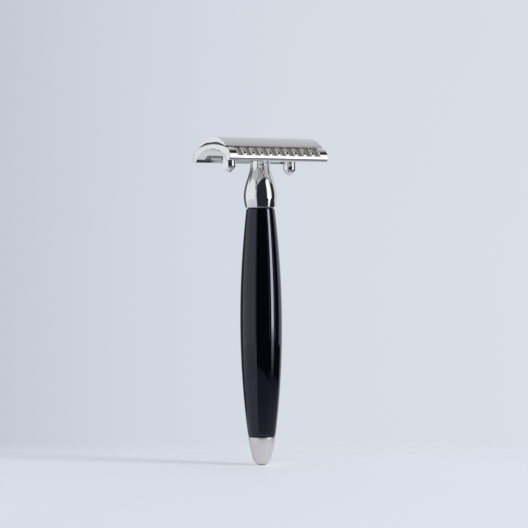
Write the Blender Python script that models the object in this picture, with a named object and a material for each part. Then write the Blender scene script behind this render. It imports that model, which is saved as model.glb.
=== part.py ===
"""A three-piece double-edge safety razor with a scalloped guard, standing upright on its end tip.

The handle axis is Z, and the razor stands on Z = 0 at the origin.
The head's long side runs along X, and its two shaving edges face +Y and -Y.

Handle: end tip, washer, grip, washer and neck collar, clamped together by a tie rod.
Head: guard plate with two corner posts, then the blade, then the cap with its stud and two pins.
Unscrewing the stud from the neck lifts the cap off the blade and the guard plate.
"""

import math

import bmesh
import bpy

MM = 0.001

# Fits.
JOINT_GAP = 0.08 * MM
PRESS_GAP = 0.05 * MM
THREAD_GAP = 0.05 * MM
ROUND_STEPS = 48
SMALL_STEPS = 24

# Handle.
TIP_HEIGHT = 10.7 * MM
TIP_TOP_RADIUS = 5.1 * MM
TIP_TAPER_RADIUS = 3.85 * MM
TIP_TAPER_HEIGHT = 3.9 * MM
TIP_FLAT_RADIUS = 1.1 * MM
TIP_BORE_DEPTH = 6.2 * MM
WASHER_THICKNESS = 0.3 * MM
WASHER_RADIUS = 4.9 * MM
GRIP_BOTTOM_RADIUS = 5.2 * MM
GRIP_BELLY_RADIUS = 7.95 * MM
GRIP_BELLY_HEIGHT = 54.5 * MM
GRIP_TOP_HEIGHT = 97.1 * MM
GRIP_TOP_RADIUS = 5.38 * MM
GRIP_EDGE_BREAK = 0.25 * MM
ROD_RADIUS = 2.4 * MM
ROD_BORE_RADIUS = 2.55 * MM
COLLAR_BOTTOM_RADIUS = 5.8 * MM
COLLAR_EDGE_BREAK = 0.12 * MM
COLLAR_BELLY_RADIUS = 6.38 * MM
COLLAR_BELLY_HEIGHT = 101.4 * MM
NECK_RADIUS = 3.75 * MM
NECK_START_HEIGHT = 113.6 * MM
NECK_TOP_HEIGHT = 118.2 * MM
COLLAR_ROD_DEPTH = 6.5 * MM
COLLAR_THREAD_DEPTH = 8.6 * MM

# Guard plate.
PLATE_LENGTH = 43.0 * MM
PLATE_TOP_HEIGHT = 121.2 * MM
PLATE_CROWN_RADIUS = 41.6 * MM
PLATE_CROWN_HALF = 10.4 * MM
PLATE_HALF_WIDTH = 14.05 * MM
PLATE_BOTTOM_HEIGHT = 114.6 * MM
PLATE_SHOULDER_HEIGHT = 116.3 * MM
ARCH_TOP_HEIGHT = 119.4 * MM
EDGE_BEVEL = 0.18 * MM
BOSS_RADIUS = 4.8 * MM
STUD_HOLE_RADIUS = 2.7 * MM
PIN_HOLE_RADIUS = 1.7 * MM
SLOTS_PER_SIDE = 10
SLOT_PITCH = 3.73 * MM
SLOT_FLOOR_WIDTH = 2.3 * MM
SLOT_LEAN = 0.18
SLOT_FOOT_HEIGHT = 116.6 * MM
SLOT_SLOPE = 0.92
SLOT_CORNER = 0.3 * MM
SLOT_ROOF_HEIGHT = 120.3 * MM
SLOT_OUTER_END = PLATE_HALF_WIDTH + 1.2 * MM
SLOT_INNER_END = 10.5 * MM
POCKET_HALF_LENGTH = 18.0 * MM
POCKET_LOW = 115.35 * MM
POCKET_HIGH = 117.35 * MM
POCKET_BACK = 10.95 * MM
POCKET_CORNER = 0.6 * MM

# Corner posts.
POST_RADIUS = 2.45 * MM
POST_X = 19.9 * MM
POST_Y = 10.9 * MM
POST_TIP_HEIGHT = 110.2 * MM
POST_NOSE = 2.9 * MM
POST_NOSE_POWER = 2.15

# Blade.
BLADE_LENGTH = 43.0 * MM
BLADE_EDGE_LENGTH = 37.2 * MM
BLADE_HALF_WIDTH = 11.0 * MM
BLADE_TAB_HALF_WIDTH = 6.6 * MM
BLADE_THICKNESS = 0.1 * MM
BLADE_EDGE_THICKNESS = 0.02 * MM
BLADE_BEVEL_WIDTH = 0.5 * MM
BLADE_CLEARANCE = 0.06 * MM
BLADE_SLOT_HALF_LENGTH = 16.6 * MM
BLADE_SLOT_HALF_WIDTH = 0.85 * MM
BLADE_CENTRE_HOLE = 2.75 * MM
BLADE_PIN_HOLE = 1.8 * MM

# Cap.
CAP_LENGTH = 42.3 * MM
CAP_TOP_HEIGHT = 124.15 * MM
CAP_HALF_WIDTH = 10.6 * MM
CAP_EDGE_HEIGHT = 120.2 * MM
CAP_CEILING_HEIGHT = 121.85 * MM
CAP_CEILING_HALF = 4.2 * MM
CAP_LAND_INNER = 9.2 * MM
CAP_LAND_OUTER = 10.42 * MM
STUD_RADIUS = 2.45 * MM
STUD_BOTTOM_HEIGHT = 111.0 * MM
STUD_SPIGOT_RADIUS = 1.6 * MM
STUD_SPIGOT_LENGTH = 1.0 * MM
PIN_RADIUS = 1.5 * MM
PIN_X = 10.4 * MM
PIN_BOTTOM_HEIGHT = 118.7 * MM
PIN_SPIGOT_RADIUS = 0.9 * MM
PIN_SPIGOT_LENGTH = 0.8 * MM

POLISHED_METAL = ((0.78, 0.77, 0.76), 0.06, 1.0)
SATIN_METAL = ((0.60, 0.60, 0.61), 0.32, 1.0)
BLADE_STEEL = ((0.56, 0.54, 0.51), 0.20, 1.0)
PLAIN_STEEL = ((0.50, 0.49, 0.46), 0.35, 1.0)
BLACK_RESIN = ((0.006, 0.006, 0.009), 0.05, 0.0)
BLACK_FIBRE = ((0.02, 0.02, 0.022), 0.6, 0.0)


def clear_scene():
    for obj in list(bpy.data.objects):
        bpy.data.objects.remove(obj, do_unlink=True)


def make_material(name, look):
    colour, roughness, metallic = look
    material = bpy.data.materials.new(name)
    material.use_nodes = True
    shader = material.node_tree.nodes["Principled BSDF"]
    shader.inputs["Base Color"].default_value = (*colour, 1.0)
    shader.inputs["Roughness"].default_value = roughness
    shader.inputs["Metallic"].default_value = metallic
    material.diffuse_color = (*colour, 1.0)
    return material


def add_object(name, mesh, parent=None, location=(0.0, 0.0, 0.0), material=None):
    obj = bpy.data.objects.new(name, mesh)
    bpy.context.scene.collection.objects.link(obj)
    obj.location = location
    obj.parent = parent
    if material is not None and not mesh.materials:
        mesh.materials.append(material)
    return obj


def add_empty(name, parent=None):
    empty = bpy.data.objects.new(name, None)
    bpy.context.scene.collection.objects.link(empty)
    empty.empty_display_size = 5.0 * MM
    empty.parent = parent
    return empty


def finish_mesh(name, bm, sharp_degrees=32.0):
    bmesh.ops.remove_doubles(bm, verts=bm.verts, dist=1e-7)
    bmesh.ops.recalc_face_normals(bm, faces=bm.faces)
    mesh = bpy.data.meshes.new(name)
    bm.to_mesh(mesh)
    bm.free()
    mesh.shade_smooth()
    mesh.set_sharp_from_angle(angle=math.radians(sharp_degrees))
    return mesh


def bezier(start, pull_start, pull_end, end, steps):
    """Points of one cubic curve, without its first point."""
    points = []
    for step in range(1, steps + 1):
        t = step / steps
        weights = ((1 - t) ** 3, 3 * t * (1 - t) ** 2, 3 * t * t * (1 - t), t**3)
        controls = (start, pull_start, pull_end, end)
        points.append(tuple(sum(w * p[axis] for w, p in zip(weights, controls)) for axis in (0, 1)))
    return points


def turned(name, profile, steps=ROUND_STEPS):
    """A solid of revolution about Z from a closed loop of (radius, height) points."""
    bm = bmesh.new()
    rings = []
    for radius, height in profile:
        if radius == 0.0:
            rings.append([bm.verts.new((0.0, 0.0, height))])
            continue
        ring = []
        for step in range(steps):
            angle = 2 * math.pi * step / steps
            ring.append(bm.verts.new((radius * math.cos(angle), radius * math.sin(angle), height)))
        rings.append(ring)
    for index, lower in enumerate(rings):
        upper = rings[(index + 1) % len(rings)]
        if len(lower) == 1 and len(upper) == 1:
            continue
        for step in range(steps):
            following = (step + 1) % steps
            corners = [
                lower[step % len(lower)],
                lower[following % len(lower)],
                upper[following % len(upper)],
                upper[step % len(upper)],
            ]
            bm.faces.new(list(dict.fromkeys(corners)))
    return finish_mesh(name, bm)


def extruded(name, section, length, axis="X", centre=0.0):
    """A prism from a closed section. Its section lies across the chosen axis."""
    bm = bmesh.new()
    ends = []
    for end in (centre - length / 2, centre + length / 2):
        if axis == "X":
            ends.append([bm.verts.new((end, across, height)) for across, height in section])
        elif axis == "Y":
            ends.append([bm.verts.new((across, end, height)) for across, height in section])
        else:
            ends.append([bm.verts.new((across, along, end)) for across, along in section])
    low, high = ends
    bm.faces.new(low)
    bm.faces.new(list(reversed(high)))
    for index in range(len(section)):
        following = (index + 1) % len(section)
        bm.faces.new((low[following], low[index], high[index], high[following]))
    return finish_mesh(name, bm)


def rounded_rectangle(half_length, low, high, corner, steps=3):
    """A closed loop of (across, height) points with rounded corners."""
    points = []
    corners = (
        (half_length - corner, high - corner, 0.0),
        (-half_length + corner, high - corner, 90.0),
        (-half_length + corner, low + corner, 180.0),
        (half_length - corner, low + corner, 270.0),
    )
    for across, height, start in corners:
        for step in range(steps + 1):
            angle = math.radians(start + 90.0 * step / steps)
            points.append((across + corner * math.cos(angle), height + corner * math.sin(angle)))
    return points


def join_meshes(name, meshes):
    """One mesh holding several separate closed bodies."""
    bm = bmesh.new()
    for mesh in meshes:
        bm.from_mesh(mesh)
    joined = bpy.data.meshes.new(name)
    bm.to_mesh(joined)
    bm.free()
    return joined


def moved(mesh, offset):
    copy = mesh.copy()
    for vertex in copy.vertices:
        vertex.co.x += offset[0]
        vertex.co.y += offset[1]
        vertex.co.z += offset[2]
    return copy


def boolean(target, name, mesh, operation="DIFFERENCE", parent=None):
    """Cuts or joins a hidden helper solid. The helper stays editable in the scene."""
    helper = add_object(name, mesh, parent=parent)
    helper.hide_render = True
    helper.display_type = "WIRE"
    modifier = target.modifiers.new(name, "BOOLEAN")
    modifier.object = helper
    modifier.operation = operation
    modifier.solver = "EXACT"
    return helper


def bevel_edges(target, width, degrees=55.0):
    modifier = target.modifiers.new("edge_break", "BEVEL")
    modifier.width = width
    modifier.segments = 1
    modifier.limit_method = "ANGLE"
    modifier.angle_limit = math.radians(degrees)


# Handle -------------------------------------------------------------------------------------


def tip_profile():
    """Rounded plug: a small flat foot, a round nose, a slight taper and a blind bore on top."""
    foot = (TIP_FLAT_RADIUS, 0.0)
    shoulder = (TIP_TAPER_RADIUS, TIP_TAPER_HEIGHT)
    rim = (TIP_TOP_RADIUS, TIP_HEIGHT - GRIP_EDGE_BREAK)
    points = [(0.0, 0.0), foot]
    points += bezier(foot, (2.5 * MM, 0.45 * MM), (3.5 * MM, 2.0 * MM), shoulder, 9)
    points += bezier(shoulder, (4.2 * MM, 5.4 * MM), (4.95 * MM, 8.6 * MM), rim, 7)
    points.append((TIP_TOP_RADIUS - GRIP_EDGE_BREAK, TIP_HEIGHT))
    points.append((ROD_BORE_RADIUS, TIP_HEIGHT))
    points.append((ROD_BORE_RADIUS, TIP_HEIGHT - TIP_BORE_DEPTH))
    points.append((0.0, TIP_HEIGHT - TIP_BORE_DEPTH - 1.2 * MM))
    return points


def washer_profile(bottom):
    top = bottom + WASHER_THICKNESS
    return [
        (ROD_BORE_RADIUS, bottom),
        (WASHER_RADIUS, bottom),
        (WASHER_RADIUS, top),
        (ROD_BORE_RADIUS, top),
    ]


def grip_radius(height, bottom):
    """The belly curve: two halves that share an upright tangent at the widest place."""
    if height >= GRIP_BELLY_HEIGHT:
        span = GRIP_TOP_HEIGHT - GRIP_BELLY_HEIGHT
        drop = GRIP_BELLY_RADIUS - GRIP_TOP_RADIUS
        return GRIP_BELLY_RADIUS - drop * ((height - GRIP_BELLY_HEIGHT) / span) ** 1.95
    span = GRIP_BELLY_HEIGHT - bottom
    drop = GRIP_BELLY_RADIUS - GRIP_BOTTOM_RADIUS
    return GRIP_BELLY_RADIUS - drop * ((GRIP_BELLY_HEIGHT - height) / span) ** 2.1


def grip_profile(bottom, rings=26):
    top = GRIP_TOP_HEIGHT
    points = [(ROD_BORE_RADIUS, bottom)]
    points.append((grip_radius(bottom, bottom) - GRIP_EDGE_BREAK, bottom))
    low = bottom + GRIP_EDGE_BREAK
    high = top - GRIP_EDGE_BREAK
    for ring in range(rings + 1):
        height = low + (high - low) * ring / rings
        points.append((grip_radius(height, bottom), height))
    points.append((grip_radius(top, bottom) - GRIP_EDGE_BREAK, top))
    points.append((ROD_BORE_RADIUS, top))
    return points


def collar_profile(bottom):
    """Bell-shaped foot that draws in to the slim neck, bored for the rod below and the stud above."""
    foot = (COLLAR_BOTTOM_RADIUS, bottom + COLLAR_EDGE_BREAK)
    belly = (COLLAR_BELLY_RADIUS, COLLAR_BELLY_HEIGHT)
    neck = (NECK_RADIUS, NECK_START_HEIGHT)
    points = [(0.0, bottom + COLLAR_ROD_DEPTH + 1.0 * MM)]
    points.append((ROD_BORE_RADIUS, bottom + COLLAR_ROD_DEPTH))
    points.append((ROD_BORE_RADIUS, bottom))
    points.append((COLLAR_BOTTOM_RADIUS - COLLAR_EDGE_BREAK, bottom))
    points.append(foot)
    points += bezier(foot, (6.05 * MM, 98.9 * MM), (6.35 * MM, 100.6 * MM), belly, 7)
    points += bezier(belly, (6.38 * MM, 106.6 * MM), (3.9 * MM, 109.8 * MM), neck, 16)
    points.append((NECK_RADIUS, NECK_TOP_HEIGHT - 0.2 * MM))
    points.append((NECK_RADIUS - 0.2 * MM, NECK_TOP_HEIGHT))
    points.append((STUD_RADIUS + THREAD_GAP, NECK_TOP_HEIGHT))
    points.append((STUD_RADIUS + THREAD_GAP, NECK_TOP_HEIGHT - COLLAR_THREAD_DEPTH))
    points.append((0.0, NECK_TOP_HEIGHT - COLLAR_THREAD_DEPTH - 1.0 * MM))
    return points


def rod_profile(bottom, top, radius, chamfer):
    return [
        (0.0, bottom),
        (radius - chamfer, bottom),
        (radius, bottom + chamfer),
        (radius, top - chamfer),
        (radius - chamfer, top),
        (0.0, top),
    ]


def build_handle(parent, materials):
    lower_washer = TIP_HEIGHT + JOINT_GAP
    grip_bottom = lower_washer + WASHER_THICKNESS + JOINT_GAP
    upper_washer = GRIP_TOP_HEIGHT + JOINT_GAP
    collar_bottom = upper_washer + WASHER_THICKNESS + JOINT_GAP
    rod_bottom = TIP_HEIGHT - TIP_BORE_DEPTH + 0.3 * MM
    rod_top = collar_bottom + COLLAR_ROD_DEPTH - 0.3 * MM
    pieces = (
        ("end_tip", tip_profile(), "satin"),
        ("lower_washer", washer_profile(lower_washer), "fibre"),
        ("grip", grip_profile(grip_bottom), "resin"),
        ("upper_washer", washer_profile(upper_washer), "fibre"),
        ("neck_collar", collar_profile(collar_bottom), "polished"),
        ("tie_rod", rod_profile(rod_bottom, rod_top, ROD_RADIUS, 0.4 * MM), "steel"),
    )
    for name, profile, look in pieces:
        add_object(name, turned(name, profile), parent, material=materials[look])


# Guard plate --------------------------------------------------------------------------------


def crown_height(across):
    """Height of the guard plate's arched top at a distance across the head."""
    return PLATE_TOP_HEIGHT - PLATE_CROWN_RADIUS + math.sqrt(PLATE_CROWN_RADIUS**2 - across**2)


def arm_underside():
    """The inner side of one guard arm, from the arch's centre down and round to its outer face."""
    points = [(0.0, ARCH_TOP_HEIGHT)]
    inner_foot = (11.5 * MM, 114.95 * MM)
    points += bezier(points[0], (4.5 * MM, ARCH_TOP_HEIGHT), (9.6 * MM, 117.9 * MM), inner_foot, 14)
    sole_start = (12.05 * MM, PLATE_BOTTOM_HEIGHT)
    points += bezier(inner_foot, (11.65 * MM, 114.7 * MM), (11.8 * MM, PLATE_BOTTOM_HEIGHT), sole_start, 3)
    sole_end = (12.7 * MM, PLATE_BOTTOM_HEIGHT)
    points.append(sole_end)
    shoulder = (PLATE_HALF_WIDTH, PLATE_SHOULDER_HEIGHT)
    points += bezier(
        sole_end, (13.5 * MM, PLATE_BOTTOM_HEIGHT), (PLATE_HALF_WIDTH, 115.3 * MM), shoulder, 6
    )
    return points


def plate_section():
    shoulder = (PLATE_HALF_WIDTH, PLATE_SHOULDER_HEIGHT)
    crown_end = (PLATE_CROWN_HALF, crown_height(PLATE_CROWN_HALF))
    half = arm_underside()
    half += bezier(shoulder, (PLATE_HALF_WIDTH, 118.4 * MM), (12.2 * MM, 119.42 * MM), crown_end, 9)
    crown_steps = 7
    for step in range(1, crown_steps + 1):
        across = PLATE_CROWN_HALF * (1 - step / crown_steps)
        half.append((across, crown_height(across)))
    mirrored = [(-across, height) for across, height in reversed(half[1:-1])]
    return half + mirrored


def slot_floor_height(across):
    """Height of a scallop's floor, which slants up inwards from the plate's outer face."""
    return SLOT_FOOT_HEIGHT + SLOT_SLOPE * (PLATE_HALF_WIDTH - across)


def slot_half_width(height):
    """Half the width of a scallop at a height. Its two sides lean apart, so a tooth narrows upwards."""
    return SLOT_FLOOR_WIDTH / 2 + SLOT_LEAN * (height - SLOT_FOOT_HEIGHT)


def slot_section(across):
    """Outline of a scallop's space, seen along the head's width: broken floor corners and a flat top."""
    floor = slot_floor_height(across)
    half = [(slot_half_width(floor) - SLOT_CORNER, floor)]
    half.append((slot_half_width(floor + SLOT_CORNER), floor + SLOT_CORNER))
    half.append((slot_half_width(SLOT_ROOF_HEIGHT), SLOT_ROOF_HEIGHT))
    return half + [(-offset, height) for offset, height in reversed(half)]


def slot_mesh(side, along):
    """The space of one scallop, open to the outside and the top."""
    bm = bmesh.new()
    ends = []
    for across in (SLOT_OUTER_END, SLOT_INNER_END):
        ends.append(
            [bm.verts.new((along + offset, side * across, height)) for offset, height in slot_section(across)]
        )
    outer, inner = ends
    bm.faces.new(outer)
    bm.faces.new(list(reversed(inner)))
    for index in range(len(outer)):
        following = (index + 1) % len(outer)
        bm.faces.new((outer[following], outer[index], inner[index], inner[following]))
    return finish_mesh("groove", bm)


def slot_cutter():
    """All the scallops of both sides."""
    grooves = []
    for side in (-1, 1):
        for index in range(SLOTS_PER_SIDE):
            grooves.append(slot_mesh(side, (index - (SLOTS_PER_SIDE - 1) / 2) * SLOT_PITCH))
    return join_meshes("guard_slots", grooves)


def pocket_cutter():
    """The long blind recess in the inner side of each guard arm."""
    section = rounded_rectangle(POCKET_HALF_LENGTH, POCKET_LOW, POCKET_HIGH, POCKET_CORNER)
    reach = 2 * POCKET_BACK
    return extruded("guard_pockets", section, reach, axis="Y")


def boss_mesh():
    return turned(
        "neck_seat",
        rod_profile(NECK_TOP_HEIGHT + JOINT_GAP, PLATE_TOP_HEIGHT - 0.6 * MM, BOSS_RADIUS, 0.3 * MM),
    )


def build_guard_plate(parent, materials):
    plate = add_object(
        "guard_plate",
        extruded("guard_plate", plate_section(), PLATE_LENGTH),
        parent,
        material=materials["polished"],
    )
    bevel_edges(plate, EDGE_BEVEL)
    boolean(plate, "guard_pockets", pocket_cutter(), parent=parent)
    boolean(plate, "neck_seat", boss_mesh(), "UNION", parent=parent)
    boolean(plate, "guard_slots", slot_cutter(), parent=parent)
    drill_bottom = NECK_TOP_HEIGHT - 2.0 * MM
    drill_top = PLATE_TOP_HEIGHT + 2.0 * MM
    stud_hole = rod_profile(drill_bottom, drill_top, STUD_HOLE_RADIUS, 0.1 * MM)
    boolean(plate, "stud_hole", turned("stud_hole", stud_hole), parent=parent)
    pin_bore = rod_profile(drill_bottom, drill_top, PIN_HOLE_RADIUS, 0.1 * MM)
    pin_hole = turned("pin_hole", pin_bore, SMALL_STEPS)
    holes = [moved(pin_hole, (side * PIN_X, 0.0, 0.0)) for side in (-1, 1)]
    boolean(plate, "pin_holes", join_meshes("pin_holes", holes), parent=parent)
    return plate


def post_blank():
    """A round post with a pointed nose, trimmed flush with the guard plate's end."""
    nose_steps = 7
    profile = [(0.0, POST_TIP_HEIGHT)]
    for step in range(1, nose_steps + 1):
        rise = step / nose_steps
        radius = POST_RADIUS * (1 - (1 - rise) ** POST_NOSE_POWER)
        profile.append((radius, POST_TIP_HEIGHT + POST_NOSE * rise))
    top = PLATE_TOP_HEIGHT - 2.0 * MM
    profile += [(POST_RADIUS, top), (0.0, top)]
    mesh = moved(turned("corner_post", profile, SMALL_STEPS + 8), (-POST_X, -POST_Y, 0.0))
    bm = bmesh.new()
    bm.from_mesh(mesh)
    cut = bmesh.ops.bisect_plane(
        bm,
        geom=bm.verts[:] + bm.edges[:] + bm.faces[:],
        plane_co=(-PLATE_LENGTH / 2, 0.0, 0.0),
        plane_no=(-1.0, 0.0, 0.0),
        clear_outer=True,
    )
    rim = [item for item in cut["geom_cut"] if isinstance(item, bmesh.types.BMEdge)]
    bmesh.ops.edgenet_fill(bm, edges=rim)
    return finish_mesh("corner_post", bm)


def saddle_cutter():
    """The space above a guard arm's underside, so that a post's top fits against it."""
    outline = [(-across, height - PRESS_GAP) for across, height in arm_underside()]
    outer, outer_height = outline[-1]
    section = outline[:-1]
    section.append((outer - PRESS_GAP, outer_height))
    section.append((outer - PRESS_GAP, PLATE_TOP_HEIGHT + 2 * MM))
    section.append((0.0, PLATE_TOP_HEIGHT + 2 * MM))
    return extruded("post_saddle", section, PLATE_LENGTH + 4 * MM)


def build_corner_posts(parent, materials):
    """Two alike posts at opposite corners, each turned half round from the other."""
    blank = post_blank()
    saddle = saddle_cutter()
    for name, turn in (("corner_post_left", 0.0), ("corner_post_right", math.pi)):
        post = add_object(name, blank, parent, material=materials["polished"])
        post.rotation_euler = (0.0, 0.0, turn)
        boolean(post, name + "_saddle", saddle, parent=post)


# Blade --------------------------------------------------------------------------------------


def blade_bottom(across):
    return crown_height(across) + BLADE_CLEARANCE


def blade_section():
    """The bent blade: an even strip that tapers to both edges."""
    edge_start = BLADE_HALF_WIDTH - BLADE_BEVEL_WIDTH
    steps = 12
    stations = [-BLADE_HALF_WIDTH]
    stations += [edge_start * (2 * step / steps - 1) for step in range(steps + 1)]
    stations.append(BLADE_HALF_WIDTH)
    lower = []
    upper = []
    for across in stations:
        thickness = BLADE_EDGE_THICKNESS if abs(across) > edge_start else BLADE_THICKNESS
        middle = blade_bottom(across) + BLADE_THICKNESS / 2
        lower.append((across, middle - thickness / 2))
        upper.append((across, middle + thickness / 2))
    return lower + list(reversed(upper))


def build_blade(parent, materials):
    blade = add_object(
        "blade", extruded("blade", blade_section(), BLADE_LENGTH), parent, material=materials["blade"]
    )
    low = blade_bottom(BLADE_HALF_WIDTH) - 1.0 * MM
    high = PLATE_TOP_HEIGHT + 1.0 * MM
    corner_length = (BLADE_LENGTH - BLADE_EDGE_LENGTH) / 2 + 2 * MM
    corner_width = BLADE_HALF_WIDTH - BLADE_TAB_HALF_WIDTH + 2 * MM
    notch_section = [
        (-corner_length / 2, -corner_width / 2),
        (corner_length / 2, -corner_width / 2),
        (corner_length / 2, corner_width / 2),
        (-corner_length / 2, corner_width / 2),
    ]
    notch = extruded("notch", notch_section, high - low, axis="Z", centre=(low + high) / 2)
    notch_x = BLADE_EDGE_LENGTH / 2 + corner_length / 2
    notch_y = BLADE_TAB_HALF_WIDTH + corner_width / 2
    notches = [moved(notch, (sx * notch_x, sy * notch_y, 0.0)) for sx in (-1, 1) for sy in (-1, 1)]
    boolean(blade, "blade_notches", join_meshes("blade_notches", notches), parent=parent)
    slot_section = rounded_rectangle(
        BLADE_SLOT_HALF_LENGTH, -BLADE_SLOT_HALF_WIDTH, BLADE_SLOT_HALF_WIDTH, BLADE_SLOT_HALF_WIDTH * 0.9
    )
    slot = extruded("blade_slot", slot_section, high - low, axis="Z", centre=(low + high) / 2)
    boolean(blade, "blade_slot", slot, parent=parent)
    centre = turned("blade_centre", rod_profile(low, high, BLADE_CENTRE_HOLE, 0.05 * MM), SMALL_STEPS)
    boolean(blade, "blade_centre", centre, parent=parent)
    pin_hole = turned("blade_pin", rod_profile(low, high, BLADE_PIN_HOLE, 0.05 * MM), SMALL_STEPS)
    holes = [moved(pin_hole, (side * PIN_X, 0.0, 0.0)) for side in (-1, 1)]
    boolean(blade, "blade_pins", join_meshes("blade_pins", holes), parent=parent)
    return blade


# Cap ----------------------------------------------------------------------------------------


def cap_section():
    """Crescent with a hollow underside that bears on the blade only along both edges."""
    rise = CAP_TOP_HEIGHT - CAP_EDGE_HEIGHT
    radius = (CAP_HALF_WIDTH**2 + rise**2) / (2 * rise)
    steps = 14
    half = []
    for step in range(steps + 1):
        across = CAP_HALF_WIDTH * math.sin(math.pi / 2 * step / steps)
        height = CAP_TOP_HEIGHT - radius + math.sqrt(radius**2 - across**2)
        half.append((across, height))
    land_gap = BLADE_THICKNESS + BLADE_CLEARANCE
    half.append((CAP_HALF_WIDTH - 0.04 * MM, blade_bottom(CAP_LAND_OUTER) + land_gap + 0.12 * MM))
    half.append((CAP_LAND_OUTER, blade_bottom(CAP_LAND_OUTER) + land_gap))
    inner = (CAP_LAND_INNER, blade_bottom(CAP_LAND_INNER) + land_gap)
    half.append(inner)
    ceiling = (CAP_CEILING_HALF, CAP_CEILING_HEIGHT - 0.1 * MM)
    half += bezier(inner, (7.6 * MM, 120.95 * MM), (5.8 * MM, 121.55 * MM), ceiling, 5)
    half.append((CAP_CEILING_HALF - 0.8 * MM, CAP_CEILING_HEIGHT))
    mirrored = [(-across, height) for across, height in reversed(half[1:])]
    return half + mirrored


def build_cap(parent, materials):
    cap = add_object(
        "top_cap", extruded("top_cap", cap_section(), CAP_LENGTH), parent, material=materials["polished"]
    )
    bevel_edges(cap, EDGE_BEVEL * 0.8)
    below = CAP_CEILING_HEIGHT - 1.0 * MM
    stud_top = CAP_CEILING_HEIGHT + STUD_SPIGOT_LENGTH + PRESS_GAP
    socket = rod_profile(below, stud_top, STUD_SPIGOT_RADIUS + PRESS_GAP, 0.1 * MM)
    boolean(cap, "stud_socket", turned("stud_socket", socket, SMALL_STEPS), parent=parent)
    pin_top = CAP_CEILING_HEIGHT + PIN_SPIGOT_LENGTH + PRESS_GAP
    socket = rod_profile(below, pin_top, PIN_SPIGOT_RADIUS + PRESS_GAP, 0.1 * MM)
    pin_socket = turned("pin_socket", socket, SMALL_STEPS)
    sockets = [moved(pin_socket, (side * PIN_X, 0.0, 0.0)) for side in (-1, 1)]
    boolean(cap, "pin_sockets", join_meshes("pin_sockets", sockets), parent=parent)
    return cap


def peg_profile(bottom, radius, spigot_radius, spigot_length, chamfer):
    """A round shank with a chamfered lower end and a smaller spigot pressed into the cap."""
    seat = CAP_CEILING_HEIGHT - JOINT_GAP
    return [
        (0.0, bottom),
        (radius - chamfer, bottom),
        (radius, bottom + chamfer),
        (radius, seat),
        (spigot_radius, seat),
        (spigot_radius, CAP_CEILING_HEIGHT + spigot_length),
        (0.0, CAP_CEILING_HEIGHT + spigot_length),
    ]


def build_stud_and_pins(parent, materials):
    stud = peg_profile(STUD_BOTTOM_HEIGHT, STUD_RADIUS, STUD_SPIGOT_RADIUS, STUD_SPIGOT_LENGTH, 0.5 * MM)
    add_object("cap_stud", turned("cap_stud", stud), parent, material=materials["polished"])
    pin = peg_profile(PIN_BOTTOM_HEIGHT, PIN_RADIUS, PIN_SPIGOT_RADIUS, PIN_SPIGOT_LENGTH, 0.45 * MM)
    mesh = turned("cap_pin", pin, SMALL_STEPS)
    for name, side in (("cap_pin_left", -1), ("cap_pin_right", 1)):
        add_object(name, mesh, parent, (side * PIN_X, 0.0, 0.0), materials["polished"])


def build_razor():
    clear_scene()
    materials = {
        "polished": make_material("polished_metal", POLISHED_METAL),
        "satin": make_material("satin_metal", SATIN_METAL),
        "blade": make_material("blade_steel", BLADE_STEEL),
        "steel": make_material("plain_steel", PLAIN_STEEL),
        "resin": make_material("black_resin", BLACK_RESIN),
        "fibre": make_material("black_fibre", BLACK_FIBRE),
    }
    handle = add_empty("handle_axis")
    head = add_empty("head_turn_axis", handle)
    blade = add_empty("blade_slide_axis", head)
    cap = add_empty("cap_slide_axis", head)
    build_handle(handle, materials)
    build_guard_plate(head, materials)
    build_corner_posts(head, materials)
    build_blade(blade, materials)
    build_cap(cap, materials)
    build_stud_and_pins(cap, materials)


build_razor()
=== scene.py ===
"""Looks of a three-piece double-edge safety razor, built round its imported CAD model.

Every piece is a finer mesh of the CAD node it stands for, in the same place and at the same size.
The razor stands on Z = 0 with its handle along Z, and its shaving edges face +Y and -Y.
"""

import math

import bmesh
import bpy
from mathutils import Matrix, Vector


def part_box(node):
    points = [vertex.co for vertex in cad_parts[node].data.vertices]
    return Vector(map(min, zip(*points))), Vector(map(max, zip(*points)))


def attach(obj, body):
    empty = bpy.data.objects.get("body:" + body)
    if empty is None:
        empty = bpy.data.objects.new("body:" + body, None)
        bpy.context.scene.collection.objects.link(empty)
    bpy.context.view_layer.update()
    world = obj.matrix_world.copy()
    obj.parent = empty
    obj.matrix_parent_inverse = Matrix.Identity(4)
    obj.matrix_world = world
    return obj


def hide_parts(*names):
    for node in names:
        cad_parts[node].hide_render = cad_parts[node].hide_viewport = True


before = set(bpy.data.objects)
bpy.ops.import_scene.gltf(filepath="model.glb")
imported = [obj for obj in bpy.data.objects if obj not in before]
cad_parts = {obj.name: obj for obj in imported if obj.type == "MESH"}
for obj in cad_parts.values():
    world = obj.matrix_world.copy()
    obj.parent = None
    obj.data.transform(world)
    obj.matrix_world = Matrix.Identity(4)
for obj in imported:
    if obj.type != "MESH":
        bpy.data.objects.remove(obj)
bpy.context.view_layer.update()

MM = 0.001

# How far the helper solids reach past what they cut, and the bevel on their ends.
CUT_OVERSHOOT = 1.0 * MM
DRILL_OVERSHOOT = 2.0 * MM
CUT_REACH = 30.0 * MM
TRIM_THICKNESS = 10.0 * MM
DRILL_CHAMFER = 0.1 * MM
FINE_DRILL_CHAMFER = 0.05 * MM

# Driving sizes, read from the CAD model.
TIP_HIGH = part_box("end_tip")[1]
GRIP_LOW, GRIP_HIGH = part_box("grip")
COLLAR_LOW, COLLAR_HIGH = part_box("neck_collar")
PLATE_LOW, PLATE_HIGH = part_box("guard_plate")
POST_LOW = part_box("corner_post_left")[0]
BLADE_LOW, BLADE_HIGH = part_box("blade")
CAP_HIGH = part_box("top_cap")[1]
STUD_LOW, STUD_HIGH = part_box("cap_stud")
PIN_LOW, PIN_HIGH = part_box("cap_pin_right")
ROD_LOW, ROD_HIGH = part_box("tie_rod")

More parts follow.
